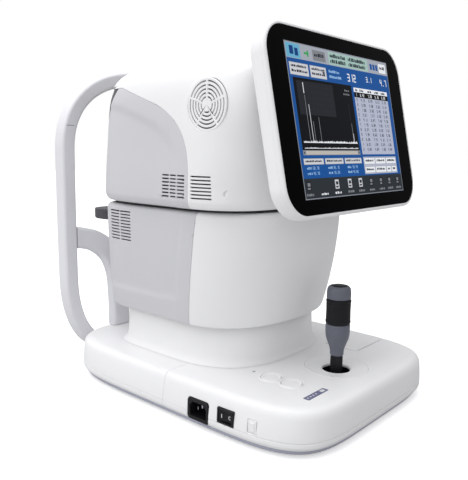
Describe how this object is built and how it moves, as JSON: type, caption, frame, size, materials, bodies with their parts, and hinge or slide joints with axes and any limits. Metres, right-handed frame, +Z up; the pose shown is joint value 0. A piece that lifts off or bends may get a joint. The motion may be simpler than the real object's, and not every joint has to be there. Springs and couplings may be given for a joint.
{
  "type": "autorefractor",
  "caption": "Tabletop eye-measuring instrument: motor-driven head with tilting touch screen on a lifting body, joystick base with printer, and a headrest with chin rest.",
  "frame": {"origin": "on the table, under the middle of the bounding box", "axes": "+Z up, +Y from the operator towards the patient, +X to the operator's right"},
  "size_m": [0.308, 0.464, 0.441],
  "materials": {
    "shell_white": "satin moulded",
    "panel_grey": "satin moulded",
    "ring_grey": "smooth satin paint",
    "pan_grey": "powder coat",
    "dark_grey": "fine texture",
    "stick_grey": "soft matt",
    "black_plastic": "fine texture",
    "rubber": "matt",
    "steel": "ground",
    "aluminium": "milled",
    "paper": "thermal paper",
    "screen_glass": "polished black cover",
    "lens_glass": "coated",
    "pad_skin": "soft skin"
  },
  "bodies": {
    "base": {"base_front_cover": "shell_white", "base_rear_cover": "shell_white", "base_pan": "pan_grey", "foot_front_left": "rubber", "foot_front_right": "rubber", "foot_rear_left": "rubber", "foot_rear_right": "rubber", "power_inlet": "black_plastic", "switch_frame": "black_plastic", "port_cover": "shell_white", "printer_bay": "dark_grey", "joystick_socket": "black_plastic", "collar": "shell_white", "lift_foot": "aluminium", "lift_motor": "dark_grey", "power_supply": "aluminium", "headrest_ring": "ring_grey", "support_arm_left": "ring_grey", "support_arm_right": "ring_grey", "chinrest_housing": "ring_grey", "forehead_pad": "pad_skin"},
    "rocker": {"power_rocker": "black_plastic"},
    "up_button": {"chinrest_up_button": "shell_white"},
    "down_button": {"chinrest_down_button": "shell_white"},
    "printer_lid": {"printer_door": "shell_white"},
    "platen": {"platen_roller": "rubber"},
    "roll": {"paper_roll": "paper"},
    "gimbal": {"gimbal_ring": "steel"},
    "stick": {"joystick_stem": "black_plastic", "joystick_body": "stick_grey", "joystick_cap": "stick_grey"},
    "grip": {"grip_ring": "rubber"},
    "trigger": {"trigger_button": "black_plastic"},
    "screw": {"lead_screw": "steel"},
    "lift": {"lift_carriage": "aluminium", "body_front_cover": "shell_white", "body_side_panel_left": "panel_grey", "body_side_panel_right": "panel_grey", "body_rear_cover": "panel_grey", "body_top_plate": "dark_grey"},
    "cross_stage": {"x_stage": "aluminium"},
    "head": {"head_chassis": "aluminium", "head_main_cover": "shell_white", "head_side_panel_left": "panel_grey", "head_side_panel_right": "panel_grey", "patient_face_panel": "dark_grey", "optics_box": "black_plastic", "objective_barrel": "black_plastic", "objective_lens": "lens_glass", "fan_grille": "shell_white", "fan_frame": "black_plastic", "monitor_bracket": "aluminium", "hinge_pin": "steel"},
    "fan": {"fan_rotor": "dark_grey"},
    "monitor": {"monitor_rear_housing": "shell_white", "monitor_front_frame": "shell_white", "cover_glass": "screen_glass"},
    "chinrest": {"chinrest_column": "steel", "chinrest_bracket": "dark_grey", "chin_cup": "dark_grey"}
  },
  "joints": [
    {"name": "rocker_tilt", "type": "hinge", "parent": "base", "child": "rocker", "pos_m": [-0.1505, -0.1275, 0.0275], "axis": [0, 0, 1], "range_deg": [-14, 0]},
    {"name": "up_button_press", "type": "slide", "parent": "base", "child": "up_button", "axis": [0, 0, -1], "range_m": [0, 0.0015], "stiffness_N_per_m": 300, "springref_m": -0.001},
    {"name": "down_button_press", "type": "slide", "parent": "base", "child": "down_button", "axis": [0, 0, -1], "range_m": [0, 0.0015], "stiffness_N_per_m": 300, "springref_m": -0.001},
    {"name": "printer_lid_hinge", "type": "hinge", "parent": "base", "child": "printer_lid", "pos_m": [0.1, -0.11, 0.0504], "axis": [-1, 0, 0], "range_deg": [0, 80]},
    {"name": "platen_spin", "type": "hinge", "parent": "printer_lid", "child": "platen", "pos_m": [0.1, -0.15, 0.0448], "axis": [1, 0, 0], "continuous": true},
    {"name": "roll_spin", "type": "hinge", "parent": "base", "child": "roll", "pos_m": [0.1, -0.133, 0.03], "axis": [1, 0, 0], "continuous": true},
    {"name": "stick_tilt_y", "type": "hinge", "parent": "base", "child": "gimbal", "pos_m": [0.003, -0.167, 0.03], "axis": [1, 0, 0], "range_deg": [-12, 12], "stiffness_Nm_per_rad": 0.8},
    {"name": "stick_tilt_x", "type": "hinge", "parent": "gimbal", "child": "stick", "pos_m": [0.003, -0.167, 0.03], "axis": [0, 1, 0], "range_deg": [-12, 12], "stiffness_Nm_per_rad": 0.8},
    {"name": "grip_twist", "type": "hinge", "parent": "stick", "child": "grip", "pos_m": [0.003, -0.167, 0.121], "axis": [0, 0, 1], "continuous": true},
    {"name": "trigger_press", "type": "slide", "parent": "stick", "child": "trigger", "axis": [0, 0, -1], "range_m": [0, 0.0012], "stiffness_N_per_m": 400, "springref_m": -0.001},
    {"name": "lift_slide", "type": "slide", "parent": "base", "child": "lift", "axis": [0, 0, 1], "range_m": [-0.018, 0.018]},
    {"name": "screw_spin", "type": "hinge", "parent": "base", "child": "screw", "pos_m": [0, 0.005, 0.1], "axis": [0, 0, 1], "range_deg": [-660, 660]},
    {"name": "cross_slide", "type": "slide", "parent": "lift", "child": "cross_stage", "axis": [1, 0, 0], "range_m": [-0.04, 0.04]},
    {"name": "depth_slide", "type": "slide", "parent": "cross_stage", "child": "head", "axis": [0, 1, 0], "range_m": [-0.015, 0.015]},
    {"name": "fan_spin", "type": "hinge", "parent": "head", "child": "fan", "pos_m": [-0.112, -0.078, 0.356], "axis": [1, 0, 0], "continuous": true},
    {"name": "monitor_tilt", "type": "hinge", "parent": "head", "child": "monitor", "pos_m": [0, -0.1395, 0.333], "axis": [1, 0, 0], "range_deg": [0, 8]},
    {"name": "chinrest_slide", "type": "slide", "parent": "base", "child": "chinrest", "axis": [0, 0, 1], "range_m": [-0.028, 0.03]}
  ],
  "couplings": [
    {"joint": "screw_spin", "follows": "lift_slide", "rad_per_m": 628.32}
  ]
}
